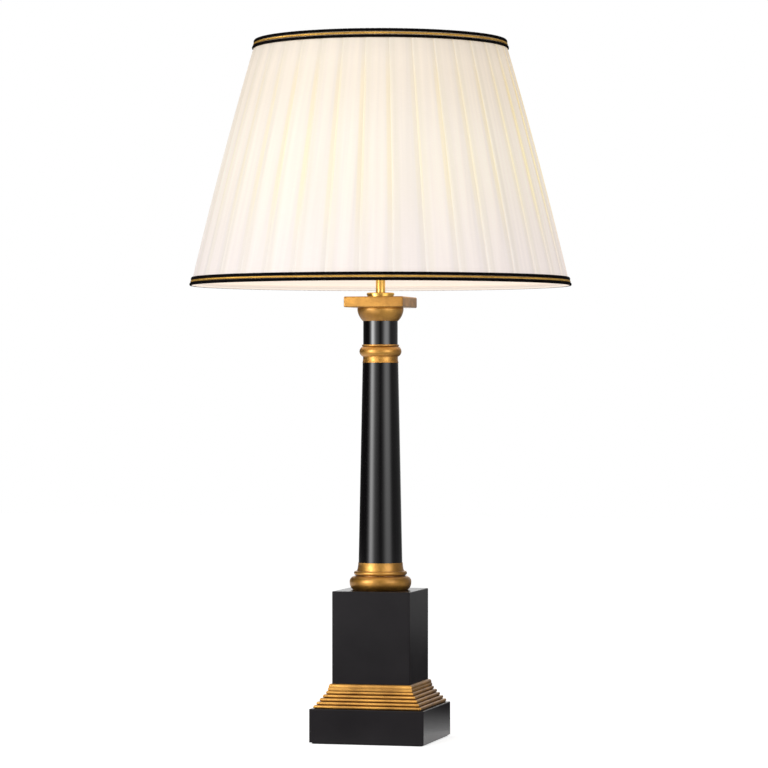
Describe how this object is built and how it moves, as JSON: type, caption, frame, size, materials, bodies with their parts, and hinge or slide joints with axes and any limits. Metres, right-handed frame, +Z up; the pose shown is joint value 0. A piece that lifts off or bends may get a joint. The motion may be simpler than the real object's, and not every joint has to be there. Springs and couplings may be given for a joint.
{
  "type": "column table lamp",
  "caption": "Table lamp with a turned black and gilt column on a square pedestal and plinth, and a round pleated shade resting on a carrier round the bulb.",
  "frame": {"origin": "centre of the foot, on the surface that the lamp stands on", "axes": "+Z up along the column, the plinth's sides square to X and Y, the cord inlet at +Y"},
  "size_m": [0.3993, 0.3992, 0.7343],
  "materials": {
    "black_lacquer": "satin black lacquer on wood",
    "gilt": "aged gilding on wood",
    "brass": "polished",
    "steel": "zinc plated",
    "iron": "as cast",
    "felt": "pressed felt",
    "board": "hardboard",
    "bush_plastic": "moulded",
    "porcelain": "glazed",
    "contact_brass": "bare strip",
    "nickel": "nickel plated",
    "black_glass": "black glass",
    "solder": "solder",
    "bulb_white": "moulded",
    "bulb_opal": "opal, lit warm white",
    "circuit": "circuit board",
    "chip_board": "white solder mask on aluminium",
    "phosphor": "yellow phosphor",
    "carrier_metal": "brass coloured plating",
    "white_wire": "white powder coat",
    "lining": "laminated lining",
    "pleated_cloth": "cream pleated cloth",
    "black_braid": "black cord",
    "gold_braid": "gold metallic cord"
  },
  "bodies": {
    "root": {"felt_pad": "felt", "base_cover": "board", "base_cover_screws": "steel", "plinth": "black_lacquer", "counterweight": "iron", "frame_screws": "steel", "cord_inlet_bush": "bush_plastic", "stepped_moulding": "gilt", "pedestal": "black_lacquer", "column_base": "gilt", "column_shaft": "black_lacquer", "astragal_ring": "gilt", "column_neck": "black_lacquer", "echinus": "gilt", "abacus": "gilt", "threaded_rod": "brass", "rod_washer": "steel", "rod_lock_washer": "steel", "rod_nut": "steel", "top_ring_nut": "brass", "lampholder_cap": "brass", "cap_grub_screw": "steel", "lampholder_insert": "porcelain", "terminal_blocks": "contact_brass", "terminal_screws": "steel", "contact_rivets": "contact_brass", "contact_spring": "contact_brass", "screw_shell": "contact_brass", "lampholder_skirt": "brass"},
    "shade_ring": {"shade_ring": "brass"},
    "carrier": {"carrier_plate": "carrier_metal", "carrier_arms": "carrier_metal", "carrier_ring": "carrier_metal"},
    "shade": {"gimbal_ring": "white_wire", "gimbal_arms": "white_wire", "shade_top_wire": "white_wire", "shade_bottom_wire": "white_wire", "shade_lining": "lining", "pleated_cover": "pleated_cloth", "top_trim_black": "black_braid", "top_trim_gold": "gold_braid", "bottom_trim_black": "black_braid", "bottom_trim_gold": "gold_braid"},
    "bulb": {"bulb_tip": "solder", "bulb_insulator": "black_glass", "bulb_cap": "nickel", "bulb_housing": "bulb_white", "driver_board": "circuit", "led_board": "chip_board", "led_chips": "phosphor", "bulb_diffuser": "bulb_opal"}
  },
  "joints": [
    {"name": "shade_ring_turn", "type": "hinge", "parent": "root", "child": "shade_ring", "pos_m": [0, 0, 0.52], "axis": [0, 0, 1], "continuous": true},
    {"name": "carrier_turn", "type": "hinge", "parent": "root", "child": "carrier", "pos_m": [0, 0, 0.516], "axis": [0, 0, 1], "continuous": true},
    {"name": "shade_lift", "type": "slide", "parent": "carrier", "child": "shade", "axis": [0, 0, 1], "range_m": [0, 0.175]},
    {"name": "bulb_lift", "type": "slide", "parent": "root", "child": "bulb", "axis": [0, 0, 1], "range_m": [0, 0.036]}
  ]
}
